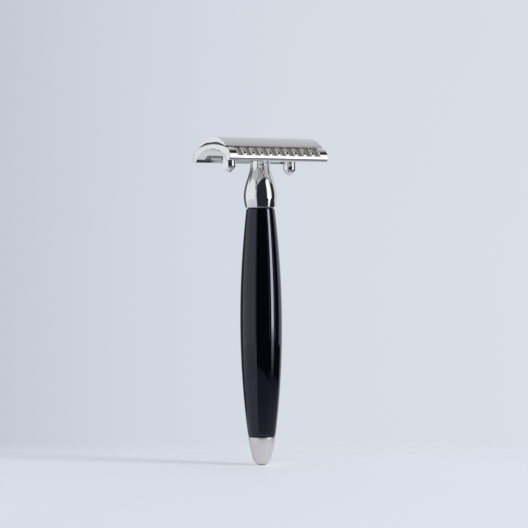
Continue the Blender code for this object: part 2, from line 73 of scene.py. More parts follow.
# Handle.
JOINT_GAP = 0.08 * MM
PRESS_GAP = 0.05 * MM
BORE_RADIUS = 2.55 * MM
TIP_TOP_RADIUS = TIP_HIGH.x
TIP_FOOT_RADIUS = 1.1 * MM
TIP_TAPER = (3.85 * MM, 3.9 * MM)
TIP_BORE_DEPTH = 6.2 * MM
TIP_DRILL_POINT = 1.2 * MM
GRIP_FOOT_RADIUS = 5.2 * MM
GRIP_TOP_RADIUS = 5.38 * MM
GRIP_BELLY_HEIGHT = 54.5 * MM
GRIP_UPPER_POWER = 1.95
GRIP_LOWER_POWER = 2.1
EDGE_BREAK = 0.25 * MM
COLLAR_FOOT_RADIUS = 5.8 * MM
COLLAR_FOOT_BREAK = 0.12 * MM
COLLAR_BELLY_HEIGHT = 101.4 * MM
NECK_RADIUS = 3.75 * MM
NECK_START_HEIGHT = 113.6 * MM
COLLAR_ROD_DEPTH = 6.5 * MM
NECK_BORE_RADIUS = 2.5 * MM
NECK_BORE_DEPTH = 8.6 * MM
NECK_TOP_BREAK = 0.2 * MM
NECK_THREAD_DEPTH = 0.3 * MM
DRILL_POINT = 1.0 * MM
THREAD_PITCH = 0.8 * MM
THREAD_DEPTH = 0.36 * MM
ROD_CHAMFER = 0.4 * MM
ROD_THREAD = 6.0 * MM
WASHER_BREAK = 0.08 * MM

# Guard plate.
CROWN_RADIUS = 41.6 * MM
CROWN_HALF = 10.4 * MM
SHOULDER_HEIGHT = 116.3 * MM
ARCH_HEIGHT = 119.4 * MM
END_ROUND = 0.18 * MM
SLOTS = 10
SLOT_PITCH = 3.73 * MM
SLOT_FLOOR_WIDTH = 2.3 * MM
SLOT_LEAN = 0.18
SLOT_REACH = 3.0 * MM
SLOT_FOOT = 116.6 * MM
SLOT_SLOPE = 0.92
SLOT_CORNER = 0.45 * MM
TOOTH_ROUND = 0.16 * MM
POCKET_HALF_LENGTH = 18.0 * MM
POCKET_LOW = 115.35 * MM
POCKET_HIGH = 117.35 * MM
POCKET_BACK = 10.95 * MM
POCKET_CORNER = 0.6 * MM
BOSS_RADIUS = 4.8 * MM
BOSS_CHAMFER = 0.3 * MM
BOSS_TOP = PLATE_HIGH.z - 0.6 * MM
STUD_HOLE_RADIUS = 2.7 * MM
PIN_HOLE_RADIUS = 1.7 * MM
PIN_X = (PIN_LOW.x + PIN_HIGH.x) / 2

# Corner posts.
POST_RADIUS = 2.45 * MM
POST_CENTRE = (-19.9 * MM, -10.9 * MM)
POST_NOSE = 2.9 * MM
POST_NOSE_POWER = 2.15
POST_TOP = PLATE_HIGH.z - 2.0 * MM
POST_EDGE_ROUND = 0.05 * MM

# Blade and cap.
BLADE_CLEARANCE = 0.06 * MM
BLADE_THICKNESS = 0.1 * MM
BLADE_EDGE_THICKNESS = 0.02 * MM
BLADE_GRIND = 0.5 * MM
BLADE_EDGE_LENGTH = 37.2 * MM
BLADE_END_ROUND = 0.2 * BLADE_EDGE_THICKNESS
BLADE_TAB_HALF = 6.6 * MM
BLADE_NOTCH_HALF = 3.0 * MM
BLADE_NOTCH_CORNER = 0.4 * MM
BLADE_SLOT_HALF_LENGTH = 16.6 * MM
BLADE_SLOT_HALF_WIDTH = 0.85 * MM
BLADE_SLOT_CORNER = 0.8 * MM
BLADE_STUD_HOLE_RADIUS = 2.75 * MM
BLADE_PIN_HOLE_RADIUS = 1.8 * MM
CAP_EDGE_HEIGHT = 120.2 * MM
CAP_CEILING = (4.2 * MM, 121.85 * MM)
CAP_LAND = (9.2 * MM, 10.42 * MM)
CAP_ROUND = 0.04 * MM
CAP_SOFTENING = 0.12 * MM
STUD_SPIGOT = (1.6 * MM, 1.0 * MM)
PIN_SPIGOT = (0.9 * MM, 0.8 * MM)
STUD_CHAMFER = 0.5 * MM
STUD_SHANK_TOP = PLATE_HIGH.z - 2.2 * MM
PIN_NOSE = 0.45 * MM

# Camera and studio. Azimuths are in degrees from the camera's side of the razor, positive to its right.
CAMERA_YAW = math.radians(31.2)
CAMERA_DISTANCE = 0.823
CAMERA_HEIGHT = 0.080
CAMERA_SIDESTEP = 0.00121
CAMERA_DIP = math.radians(0.264)
CAMERA_ROLL = math.radians(0.34)
CAMERA_LENS = 148.0
STUDIO_RADIUS = 1.4
STUDIO_CENTRE = Vector((0.0, 0.0, 0.09))
FLOOR_CARD_HEIGHT = 0.5 * MM
BLACK_CARD = (0.022, 0.026, 0.034)
BROWN_CARD = (0.22, 0.195, 0.185)
FLOOR_BLACK_HEIGHT = 0.6 * MM
SOFTBOX_FLOOR_HEIGHT = 0.7 * MM
CONTACT_SHADE_NEAR = 1.2 * MM
CONTACT_SHADE_FAR = 2.2 * MM
CONTACT_SHADE_HEIGHT = 0.05 * MM
FLOOR_RADIUS = 0.7
SOFTBOX_MIDDLE = (66.0, 12.0)
SOFTBOX_HALF_WIDTH = 7.5
SOFTBOX_HALF_HEIGHT = 21.0
SOFTBOX_RADIANCE = 10.0

# Meshes.
MERGE_DISTANCE = 1e-7
SHARP_DEGREES = 32.0
TURNED_SHARP_DEGREES = 50.0
LEAST_ROUNDED_TURN = math.radians(24)


# Mesh tools ---------------------------------------------------------------------------------


def make_object(name, mesh):
    piece = bpy.data.objects.new(name, mesh)
    bpy.context.scene.collection.objects.link(piece)
    return piece


def finish_mesh(name, bm, sharp_degrees=SHARP_DEGREES):
    bmesh.ops.remove_doubles(bm, verts=bm.verts, dist=MERGE_DISTANCE)
    bmesh.ops.recalc_face_normals(bm, faces=bm.faces)
    mesh = bpy.data.meshes.new(name)
    bm.to_mesh(mesh)
    bm.free()
    mesh.shade_smooth()
    mesh.set_sharp_from_angle(angle=math.radians(sharp_degrees))
    return mesh


def bezier(start, pull_start, pull_end, end, steps):
    """Points of one cubic curve, without its first point."""
    points = []
    for step in range(1, steps + 1):
        t = step / steps
        weights = ((1 - t) ** 3, 3 * t * (1 - t) ** 2, 3 * t * t * (1 - t), t**3)
        controls = (start, pull_start, pull_end, end)
        points.append(tuple(sum(w * p[axis] for w, p in zip(weights, controls)) for axis in (0, 1)))
    return points


def softened(outline, radius, steps=4):
    """The same closed outline with each sharp corner off the axis rounded."""
    result = []
    for index, point in enumerate(outline):
        corner = Vector(point[:2])
        back = Vector(outline[index - 1][:2]) - corner
        ahead = Vector(outline[(index + 1) % len(outline)][:2]) - corner
        turn = math.pi - back.angle(ahead, math.pi)
        if turn < LEAST_ROUNDED_TURN or corner.x == 0.0:
            result.append(tuple(point))
            continue
        reach = min(radius * math.tan(turn / 2), 0.45 * back.length, 0.45 * ahead.length)
        start = corner + back.normalized() * reach
        end = corner + ahead.normalized() * reach
        for step in range(steps + 1):
            t = step / steps
            result.append(tuple(start * (1 - t) ** 2 + corner * 2 * t * (1 - t) + end * t * t))
    return result


def turned(name, profile, steps=128):
    """A solid of revolution about Z from a closed loop of (radius, height) points.

    A point with a third value lies on a screw thread, and its radius moves by up to that much.
    """
    bm = bmesh.new()
    rings = []
    for radius, height, *thread in profile:
        if radius == 0.0:
            rings.append([bm.verts.new((0.0, 0.0, height))])
            continue
        ring = []
        for step in range(steps):
            angle = 2 * math.pi * step / steps
            here = radius
            if thread:
                here += thread[0] * thread_wave(height / THREAD_PITCH - step / steps)
            ring.append(bm.verts.new((here * math.cos(angle), here * math.sin(angle), height)))
        rings.append(ring)
    for index, lower in enumerate(rings):
        upper = rings[(index + 1) % len(rings)]
        if len(lower) == 1 and len(upper) == 1:
            continue
        for step in range(steps):
            following = (step + 1) % steps
            corners = [
                lower[step % len(lower)],
                lower[following % len(lower)],
                upper[following % len(upper)],
                upper[step % len(upper)],
            ]
            bm.faces.new(list(dict.fromkeys(corners)))
    return finish_mesh(name, bm, TURNED_SHARP_DEGREES)


def thread_wave(turns):
    """Depth of a V thread with a narrow flat crest and root: 0 on the crest and 1 in the root."""
    share = abs((turns % 1.0) * 2 - 1)
    return min(max((share - 0.12) / 0.76, 0.0), 1.0)


def threaded_run(radius, low, high, depth, rings_per_pitch=10):
    """Profile points up a thread that fades in and out over its last half turn."""
    count = max(2, round((high - low) / THREAD_PITCH * rings_per_pitch))
    points = []
    for ring in range(count + 1):
        height = low + (high - low) * ring / count
        fade = min(1.0, (height - low) / (0.5 * THREAD_PITCH), (high - height) / (0.5 * THREAD_PITCH))
        points.append((radius, height, depth * fade))
    return points


def loft(name, rings):
    """A closed solid through equal closed rings of points, with both ends filled."""
    bm = bmesh.new()
    rows = [[bm.verts.new(point) for point in ring] for ring in rings]
    bm.faces.new(rows[0])
    bm.faces.new(list(reversed(rows[-1])))
    for low, high in zip(rows, rows[1:]):
        for index in range(len(low)):
            following = (index + 1) % len(low)
            bm.faces.new((low[index], low[following], high[following], high[index]))
    return finish_mesh(name, bm)


def inset(outline, distance):
    """The closed outline moved inwards, along each point's own normal. The outline runs anticlockwise."""
    moved = []
    for index, point in enumerate(outline):
        before = Vector(outline[index - 1])
        after = Vector(outline[(index + 1) % len(outline)])
        along = (after - before).normalized()
        moved.append((point[0] - along.y * distance, point[1] + along.x * distance))
    return moved


def anticlockwise(outline):
    area = 0.0
    for index, (across, height) in enumerate(outline):
        next_across, next_height = outline[(index + 1) % len(outline)]
        area += across * next_height - next_across * height
    return outline if area > 0 else list(reversed(outline))


def bar_along_x(name, section, half_length, end_round, steps=4):
    """A straight bar along X with rounded end edges.

    The rounding stays under half of the section's thinnest edge, or the ends would fold over themselves.
    """
    section = anticlockwise(section)
    rings = []
    for side in (-1, 1):
        for step in range(steps + 1):
            angle = math.pi / 2 * (steps - step if side < 0 else step) / steps
            along = side * (half_length - end_round * (1 - math.cos(math.pi / 2 - angle)))
            outline = inset(section, end_round * (1 - math.cos(angle)))
            rings.append([(along, across, height) for across, height in outline])
    return loft(name, rings)


def prism(section, low, high, axis="Z"):
    """A plain helper solid for cutting, from a closed section across the chosen axis."""
    rings = []
    for end in (low, high):
        if axis == "X":
            rings.append([(end, a, b) for a, b in section])
        elif axis == "Y":
            rings.append([(a, end, b) for a, b in section])
        else:
            rings.append([(a, b, end) for a, b in section])
    return loft("helper", rings)


def rounded_rectangle(half_length, low, high, corner, steps=6):
    points = []
    corners = (
        (half_length - corner, high - corner, 0.0),
        (-half_length + corner, high - corner, 90.0),
        (-half_length + corner, low + corner, 180.0),
        (half_length - corner, low + corner, 270.0),
    )
    for across, height, start in corners:
        for step in range(steps + 1):
            angle = math.radians(start + 90.0 * step / steps)
            points.append((across + corner * math.cos(angle), height + corner * math.sin(angle)))
    return points


def combine(piece, mesh, operation="DIFFERENCE"):
    """Cuts the helper mesh from the piece, or joins it on, and keeps the result as a plain mesh."""
    helper = make_object("helper", mesh)
    modifier = piece.modifiers.new("combine", "BOOLEAN")
    modifier.object = helper
    modifier.operation = operation
    modifier.solver = "EXACT"
    graph = bpy.context.evaluated_depsgraph_get()
    result = bpy.data.meshes.new_from_object(piece.evaluated_get(graph))
    piece.modifiers.clear()
    piece.data = result
    bpy.data.objects.remove(helper)


def moved(mesh, x=0.0, y=0.0):
    copy = mesh.copy()
    copy.transform(Matrix.Translation((x, y, 0.0)))
    return copy


def even_normals(piece):
    """Keeps large faces flat in the shading beside their small edge rounds."""
    modifier = piece.modifiers.new("even_normals", "WEIGHTED_NORMAL")
    modifier.keep_sharp = True
    modifier.weight = 80


def polish_mesh(piece, sharp_degrees=SHARP_DEGREES):
    piece.data.shade_smooth()
    piece.data.set_sharp_from_angle(angle=math.radians(sharp_degrees))
    even_normals(piece)


# Handle -------------------------------------------------------------------------------------


def tip_mesh():
    foot = (TIP_FOOT_RADIUS, 0.0)
    rim = (TIP_TOP_RADIUS, TIP_HIGH.z - EDGE_BREAK)
    points = [(0.0, 0.0), foot]
    points += bezier(foot, (2.5 * MM, 0.45 * MM), (3.5 * MM, 2.0 * MM), TIP_TAPER, 24)
    points += bezier(TIP_TAPER, (4.2 * MM, 5.4 * MM), (4.95 * MM, 8.6 * MM), rim, 20)
    points += bezier(rim, (rim[0], TIP_HIGH.z), (rim[0], TIP_HIGH.z), (rim[0] - EDGE_BREAK, TIP_HIGH.z), 5)
    points.append((BORE_RADIUS, TIP_HIGH.z))
    points += reversed(threaded_run(BORE_RADIUS, TIP_HIGH.z - TIP_BORE_DEPTH, TIP_HIGH.z - EDGE_BREAK, 0.0))
    points.append((0.0, TIP_HIGH.z - TIP_BORE_DEPTH - TIP_DRILL_POINT))
    return turned("fine_end_tip", points)


def washer_mesh(node):
    low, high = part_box(node)
    outline = [(BORE_RADIUS, low.z), (high.x, low.z), (high.x, high.z), (BORE_RADIUS, high.z)]
    return turned("fine_" + node, softened(outline, WASHER_BREAK, 3), 96)


def grip_radius(height):
    if height >= GRIP_BELLY_HEIGHT:
        share = (height - GRIP_BELLY_HEIGHT) / (GRIP_HIGH.z - GRIP_BELLY_HEIGHT)
        return GRIP_HIGH.x - (GRIP_HIGH.x - GRIP_TOP_RADIUS) * share**GRIP_UPPER_POWER
    share = (GRIP_BELLY_HEIGHT - height) / (GRIP_BELLY_HEIGHT - GRIP_LOW.z)
    return GRIP_HIGH.x - (GRIP_HIGH.x - GRIP_FOOT_RADIUS) * share**GRIP_LOWER_POWER


def grip_mesh(rings=90):
    outline = [(BORE_RADIUS, GRIP_LOW.z)]
    for ring in range(rings + 1):
        height = GRIP_LOW.z + (GRIP_HIGH.z - GRIP_LOW.z) * ring / rings
        outline.append((grip_radius(height), height))
    outline.append((BORE_RADIUS, GRIP_HIGH.z))
    return turned("fine_grip", softened(outline, EDGE_BREAK, 5), 144)


def collar_mesh():
    low = COLLAR_LOW.z
    top = COLLAR_HIGH.z
    foot = (COLLAR_FOOT_RADIUS, low)
    belly = (COLLAR_HIGH.x, COLLAR_BELLY_HEIGHT)
    neck = (NECK_RADIUS, NECK_START_HEIGHT)
    points = [(0.0, low + COLLAR_ROD_DEPTH + DRILL_POINT)]
    points.append((BORE_RADIUS, low + COLLAR_ROD_DEPTH))
    points.append((BORE_RADIUS, low))
    points.append((COLLAR_FOOT_RADIUS - COLLAR_FOOT_BREAK, low))
    points.append((COLLAR_FOOT_RADIUS - 0.3 * COLLAR_FOOT_BREAK, low + 0.3 * COLLAR_FOOT_BREAK))
    points.append((foot[0], foot[1] + COLLAR_FOOT_BREAK))
    points += bezier(points[-1], (6.05 * MM, 98.9 * MM), (6.35 * MM, 100.6 * MM), belly, 20)
    points += bezier(belly, (6.38 * MM, 106.6 * MM), (3.9 * MM, 109.8 * MM), neck, 44)
    points.append((NECK_RADIUS, top - NECK_TOP_BREAK))
    edge = (NECK_RADIUS, top)
    points += bezier(points[-1], edge, edge, (NECK_RADIUS - NECK_TOP_BREAK, top), 4)
    points.append((NECK_BORE_RADIUS + NECK_TOP_BREAK, top))
    bottom = top - NECK_BORE_DEPTH
    points += reversed(threaded_run(NECK_BORE_RADIUS, bottom, top - NECK_TOP_BREAK, NECK_THREAD_DEPTH))
    points.append((0.0, bottom - DRILL_POINT))
    return turned("fine_neck_collar", points)


def rod_mesh():
    """A plain rod with a thread cut on both ends."""
    radius = ROD_HIGH.x
    low = ROD_LOW.z
    high = ROD_HIGH.z
    points = [(0.0, low), (radius - ROD_CHAMFER, low)]
    points += threaded_run(radius, low + ROD_CHAMFER, low + ROD_THREAD, -THREAD_DEPTH)
    points += threaded_run(radius, high - ROD_THREAD, high - ROD_CHAMFER, -THREAD_DEPTH)
    points += [(radius - ROD_CHAMFER, high), (0.0, high)]
    return turned("fine_tie_rod", points, 48)


# Guard plate --------------------------------------------------------------------------------


def crown_height(across):
    return PLATE_HIGH.z - CROWN_RADIUS + math.sqrt(CROWN_RADIUS**2 - across**2)


def arm_underside():
    """From the arch's centre down and round one arm to its outer shoulder."""
    bottom = PLATE_LOW.z
    points = [(0.0, ARCH_HEIGHT)]
    inner_foot = (11.5 * MM, 114.95 * MM)
    points += bezier(points[0], (4.5 * MM, ARCH_HEIGHT), (9.6 * MM, 117.9 * MM), inner_foot, 30)
    points += bezier(inner_foot, (11.65 * MM, 114.7 * MM), (11.8 * MM, bottom), (12.05 * MM, bottom), 6)
    points.append((12.7 * MM, bottom))
    shoulder = (PLATE_HIGH.y, SHOULDER_HEIGHT)
    points += bezier(points[-1], (13.5 * MM, bottom), (PLATE_HIGH.y, 115.3 * MM), shoulder, 12)
    return points


def shoulder_point(t):
    """One point of the outer face's curve from the arm's shoulder (t = 0) up to the crown (t = 1)."""
    controls = (
        (PLATE_HIGH.y, SHOULDER_HEIGHT),
        (PLATE_HIGH.y, 118.4 * MM),
        (12.2 * MM, 119.42 * MM),
        (CROWN_HALF, crown_height(CROWN_HALF)),
    )
    weights = ((1 - t) ** 3, 3 * t * (1 - t) ** 2, 3 * t * t * (1 - t), t**3)
    return Vector(tuple(sum(w * p[axis] for w, p in zip(weights, controls)) for axis in (0, 1)))


def slot_floor(across):
    """Height of a scallop's floor, which slants up inwards from the plate's outer face."""
    return SLOT_FOOT + SLOT_SLOPE * (PLATE_HIGH.y - across)


def slot_ends():
    """The two places (t) on the outer face's curve where a scallop's floor starts and ends."""
    found = []
    for low, high, sign in ((0.0, 0.3, -1), (0.5, 1.0, 1)):
        for _ in range(40):
            middle = (low + high) / 2
            point = shoulder_point(middle)
            outside = (point.y - slot_floor(point.x)) * sign > 0
            low, high = (middle, high) if outside else (low, middle)
        found.append((low + high) / 2)
    return found


def along_path(path, count):
    """Points at even spacing along an open path, both ends included."""
    lengths = [0.0]
    for start, end in zip(path, path[1:]):
        lengths.append(lengths[-1] + (end - start).length)
    points = []
    segment = 0
    for index in range(count):
        distance = lengths[-1] * index / (count - 1)
        while segment < len(path) - 2 and lengths[segment + 1] < distance:
            segment += 1
        span = max(lengths[segment + 1] - lengths[segment], 1e-12)
        points.append(path[segment].lerp(path[segment + 1], (distance - lengths[segment]) / span))
    return points


def slot_half_width(height):
    """Half the width of a scallop, whose two sides lean apart from its foot to the teeth's tops."""
    return SLOT_FLOOR_WIDTH / 2 + SLOT_LEAN * min(max(height - SLOT_FOOT, 0.0), SLOT_REACH)


def plate_rings():
    """Closed rings of points along X: the full arch at teeth and ends, the cut one in each scallop."""
    count = 28
    t_floor, t_back = slot_ends()
    full = along_path([shoulder_point(t_floor + (t_back - t_floor) * i / 60) for i in range(61)], count)
    cut = along_path([full[0], full[-1]], count)
    under = arm_underside()
    crown_steps = 22
    crown = [shoulder_point(t_back + (1 - t_back) * i / 5) for i in range(1, 6)]
    crown += [
        Vector((CROWN_HALF * (1 - i / crown_steps), crown_height(CROWN_HALF * (1 - i / crown_steps))))
        for i in range(1, crown_steps + 1)
    ]

    def outline(depth_of):
        tooth = [start.lerp(end, depth_of((end - start).length)) for start, end in zip(full, cut)]
        half = [Vector(point) for point in under] + tooth + crown
        return half + [Vector((-point.x, point.y)) for point in reversed(half[1:-1])]

    def rounded_off(distance):
        return outline(lambda gap: min(distance / gap, 1.0) if gap > 1e-9 else 0.0)

    def filled_by(distance):
        return outline(lambda gap: 1.0 - min(distance / gap, 1.0) if gap > 1e-9 else 0.0)

    whole = outline(lambda gap: 0.0)
    half_length = PLATE_HIGH.x
    ends = []
    for step in range(4):
        angle = math.pi / 2 * (1 - step / 4)
        edge = inset([tuple(point) for point in whole], END_ROUND * (1 - math.cos(angle)))
        ends.append((half_length - END_ROUND * (1 - math.sin(angle)), edge))
    ends.append((half_length - END_ROUND, whole))
    slot_half = []
    for step in range(4):
        angle = math.pi / 2 * step / 3
        section = rounded_off(TOOTH_ROUND * (1 - math.cos(angle)))
        slot_half.append((TOOTH_ROUND * (1 - math.sin(angle)), section))
    for step in range(6):
        angle = math.pi / 2 * step / 5
        section = filled_by(SLOT_CORNER * (1 - math.sin(angle)))
        slot_half.append((-SLOT_CORNER * (1 - math.cos(angle)), section))
    rings = [[(-along, point[0], point[1]) for point in section] for along, section in ends]
    for index in range(SLOTS):
        centre = (index - (SLOTS - 1) / 2) * SLOT_PITCH
        for side, walls in ((-1, slot_half), (1, list(reversed(slot_half)))):
            for offset, section in walls:
                rings.append(
                    [
                        (centre + side * (slot_half_width(point[1]) + offset), point[0], point[1])
                        for point in section
                    ]
                )
    rings += [[(along, point[0], point[1]) for point in section] for along, section in reversed(ends)]
    return rings


def plain_peg(name, radius, low, high, chamfer, steps=64):
    profile = [(0.0, low), (radius - chamfer, low), (radius, low + chamfer)]
    profile += [(radius, high - chamfer), (radius - chamfer, high), (0.0, high)]
    return turned(name, profile, steps)


def make_guard_plate():
    plate = make_object("fine_guard_plate", loft("fine_guard_plate", plate_rings()))
    pocket = rounded_rectangle(POCKET_HALF_LENGTH, POCKET_LOW, POCKET_HIGH, POCKET_CORNER)
    combine(plate, prism(pocket, -POCKET_BACK, POCKET_BACK, "Y"))
    boss = plain_peg("helper", BOSS_RADIUS, COLLAR_HIGH.z + JOINT_GAP, BOSS_TOP, BOSS_CHAMFER, 128)
    combine(plate, boss, "UNION")
    drill_low = COLLAR_HIGH.z - DRILL_OVERSHOOT
    drill_high = PLATE_HIGH.z + DRILL_OVERSHOOT
    combine(plate, plain_peg("helper", STUD_HOLE_RADIUS, drill_low, drill_high, DRILL_CHAMFER, 96))
    for side in (-1, 1):
        hole = plain_peg("helper", PIN_HOLE_RADIUS, drill_low, drill_high, DRILL_CHAMFER)
        combine(plate, moved(hole, x=side * PIN_X))
    polish_mesh(plate)
    return plate


def post_mesh():
    """A round post with a pointed nose, still untrimmed, in its place under the left end."""
    nose_steps = 24
    profile = [(0.0, POST_LOW.z)]
    for step in range(1, nose_steps + 1):
        rise = (step / nose_steps) ** 1.5
        profile.append((POST_RADIUS * (1 - (1 - rise) ** POST_NOSE_POWER), POST_LOW.z + POST_NOSE * rise))
    profile += [(POST_RADIUS, POST_TOP), (0.0, POST_TOP)]
    return moved(turned("fine_corner_post", profile, 96), *POST_CENTRE)


def make_corner_posts():
    """Both posts, fitted under the plate's arms and trimmed flush with its ends."""
    outline = [(-across, height - PRESS_GAP) for across, height in arm_underside()]
    outer = outline[-1][0] - PRESS_GAP
    above = PLATE_HIGH.z + DRILL_OVERSHOOT
    saddle = outline[:-1] + [(outer, outline[-1][1]), (outer, above), (0.0, above)]
    below = POST_LOW.z - CUT_OVERSHOOT
    end_face = PLATE_LOW.x
    outside = end_face - TRIM_THICKNESS
    trim = [(outside, below), (end_face, below), (end_face, above), (outside, above)]
    posts = []
    for node, turn in (("corner_post_left", 0.0), ("corner_post_right", math.pi)):
        post = make_object("fine_" + node, post_mesh())
        combine(post, prism(saddle, -CUT_REACH, CUT_REACH, "X"))
        combine(post, prism(trim, -CUT_REACH, CUT_REACH, "Y"))
        post.data.transform(Matrix.Rotation(turn, 4, "Z"))
        edge = post.modifiers.new("edge_round", "BEVEL")
        edge.width = POST_EDGE_ROUND
        edge.segments = 2
        edge.limit_method = "ANGLE"
        edge.angle_limit = math.radians(50)
        polish_mesh(post)
        posts.append(post)
    return posts


# Blade, cap, stud and pins ------------------------------------------------------------------


def blade_bottom(across):
    return crown_height(across) + BLADE_CLEARANCE


def make_blade():
    half_width = BLADE_HIGH.y
    ground = half_width - BLADE_GRIND
    steps = 40
    stations = [-half_width]
    stations += [ground * (2 * step / steps - 1) for step in range(steps + 1)]
    stations.append(half_width)
    lower = []
    upper = []
    for across in stations:
        thickness = BLADE_EDGE_THICKNESS if abs(across) > ground else BLADE_THICKNESS
        middle = blade_bottom(across) + BLADE_THICKNESS / 2
        lower.append((across, middle - thickness / 2))
        upper.append((across, middle + thickness / 2))
    section = lower + list(reversed(upper))
    blade = make_object("fine_blade", bar_along_x("fine_blade", section, BLADE_HIGH.x, BLADE_END_ROUND, 1))
    low = BLADE_LOW.z - CUT_OVERSHOOT
    high = BLADE_HIGH.z + CUT_OVERSHOOT
    notch_half = BLADE_NOTCH_HALF
    notch = rounded_rectangle(notch_half, -notch_half, notch_half, BLADE_NOTCH_CORNER)
    for side_x in (-1, 1):
        for side_y in (-1, 1):
            x = side_x * (BLADE_EDGE_LENGTH / 2 + notch_half)
            y = side_y * (BLADE_TAB_HALF + notch_half)
            combine(blade, moved(prism(notch, low, high), x=x, y=y))
    slot_half = BLADE_SLOT_HALF_WIDTH
    slot = rounded_rectangle(BLADE_SLOT_HALF_LENGTH, -slot_half, slot_half, BLADE_SLOT_CORNER)
    combine(blade, prism(slot, low, high))
    combine(blade, plain_peg("helper", BLADE_STUD_HOLE_RADIUS, low, high, FINE_DRILL_CHAMFER, 96))
    for side in (-1, 1):
        hole = plain_peg("helper", BLADE_PIN_HOLE_RADIUS, low, high, FINE_DRILL_CHAMFER)
        combine(blade, moved(hole, x=side * PIN_X))
    polish_mesh(blade, 20.0)
    return blade


def cap_section():
    half_width = CAP_HIGH.y
    rise = CAP_HIGH.z - CAP_EDGE_HEIGHT
    radius = (half_width**2 + rise**2) / (2 * rise)
    steps = 48
    half = []
    for step in range(steps + 1):
        across = half_width * step / steps
        half.append((across, CAP_HIGH.z - radius + math.sqrt(radius**2 - across**2)))
    land_gap = BLADE_THICKNESS + BLADE_CLEARANCE
    land_inner, land_outer = CAP_LAND
    half.append((land_outer, blade_bottom(land_outer) + land_gap))
    inner = (land_inner, blade_bottom(land_inner) + land_gap)
    half.append(inner)
    ceiling = (CAP_CEILING[0], CAP_CEILING[1] - 0.1 * MM)
    half += bezier(inner, (7.6 * MM, 120.95 * MM), (5.8 * MM, 121.55 * MM), ceiling, 16)
    half.append((CAP_CEILING[0] - 0.8 * MM, CAP_CEILING[1]))
    outline = half + [(-across, height) for across, height in reversed(half[1:])]
    return softened(outline, CAP_SOFTENING, 4)


def make_cap():
    cap = make_object("fine_top_cap", bar_along_x("fine_top_cap", cap_section(), CAP_HIGH.x, CAP_ROUND))
    below = CAP_CEILING[1] - CUT_OVERSHOOT
    for x, (radius, length) in ((0.0, STUD_SPIGOT), (-PIN_X, PIN_SPIGOT), (PIN_X, PIN_SPIGOT)):
        top = CAP_CEILING[1] + length + PRESS_GAP
        combine(cap, moved(plain_peg("helper", radius + PRESS_GAP, below, top, DRILL_CHAMFER), x=x))
    polish_mesh(cap)
    return cap


def stud_mesh():
    seat = CAP_CEILING[1] - JOINT_GAP
    radius = STUD_HIGH.x
    points = [(0.0, STUD_LOW.z), (radius - STUD_CHAMFER, STUD_LOW.z)]
    points += threaded_run(radius, STUD_LOW.z + STUD_CHAMFER, STUD_SHANK_TOP, -THREAD_DEPTH, 12)
    points += [(radius, seat), (STUD_SPIGOT[0], seat), (STUD_SPIGOT[0], STUD_HIGH.z), (0.0, STUD_HIGH.z)]
    return turned("fine_cap_stud", points, 96)


def pin_mesh():
    seat = CAP_CEILING[1] - JOINT_GAP
    radius = (PIN_HIGH.x - PIN_LOW.x) / 2
    edge = (radius, PIN_LOW.z)
    points = [(0.0, PIN_LOW.z), (radius - PIN_NOSE, PIN_LOW.z)]
    points += bezier(points[-1], edge, edge, (radius, PIN_LOW.z + PIN_NOSE), 6)
    points += [(radius, seat), (PIN_SPIGOT[0], seat), (PIN_SPIGOT[0], PIN_HIGH.z), (0.0, PIN_HIGH.z)]
    return turned("fine_cap_pin", points, 64)


# Materials ----------------------------------------------------------------------------------


class Surface:
    """A Principled material whose small variations come from noise in object space."""

    def __init__(self, name, colour, roughness, metallic, ior=1.5):
        self.material = bpy.data.materials.new(name)
        self.material.use_nodes = True
        self.nodes = self.material.node_tree.nodes
        self.links = self.material.node_tree.links
        self.shader = self.nodes["Principled BSDF"]
        self.shader.inputs["Base Color"].default_value = (*colour, 1.0)
        self.shader.inputs["Roughness"].default_value = roughness
        self.shader.inputs["Metallic"].default_value = metallic
        self.shader.inputs["IOR"].default_value = ior
        self.place = self.nodes.new("ShaderNodeTexCoord").outputs["Object"]

    def noise(self, per_metre, detail, stretch=(1.0, 1.0, 1.0)):
        mapping = self.nodes.new("ShaderNodeMapping")
        mapping.inputs["Scale"].default_value = tuple(per_metre * share for share in stretch)
        self.links.new(self.place, mapping.inputs["Vector"])
        texture = self.nodes.new("ShaderNodeTexNoise")
        texture.inputs["Scale"].default_value = 1.0
        texture.inputs["Detail"].default_value = detail
        texture.inputs["Roughness"].default_value = 0.5
        self.links.new(mapping.outputs["Vector"], texture.inputs["Vector"])
        return texture.outputs["Fac"]

    def ranged(self, value, low, high, to_low, to_high):
        node = self.nodes.new("ShaderNodeMapRange")
        node.inputs["From Min"].default_value = low
        node.inputs["From Max"].default_value = high
        node.inputs["To Min"].default_value = to_low
        node.inputs["To Max"].default_value = to_high
        self.links.new(value, node.inputs["Value"])
        return node.outputs["Result"]

    def add(self, first, second):
        node = self.nodes.new("ShaderNodeMath")
        node.operation = "ADD"
        self.links.new(first, node.inputs[0])
        self.links.new(second, node.inputs[1])
        return node.outputs["Value"]

    def mixed_colour(self, factor, first, second):
        node = self.nodes.new("ShaderNodeMix")
        node.data_type = "RGBA"
        self.links.new(factor, node.inputs["Factor"])
        node.inputs["A"].default_value = (*first, 1.0)
        node.inputs["B"].default_value = (*second, 1.0)
        return node.outputs["Result"]

    def set_colour(self, socket):
        self.links.new(socket, self.shader.inputs["Base Color"])

    def set_roughness(self, socket):
        self.links.new(socket, self.shader.inputs["Roughness"])

    def set_bump(self, height, depth):
        """Height in 0 to 1, raised over the surface by depth metres."""
        bump = self.nodes.new("ShaderNodeBump")
        bump.inputs["Strength"].default_value = 1.0
        bump.inputs["Distance"].default_value = depth
        self.links.new(height, bump.inputs["Height"])
        self.links.new(bump.outputs["Normal"], self.shader.inputs["Normal"])


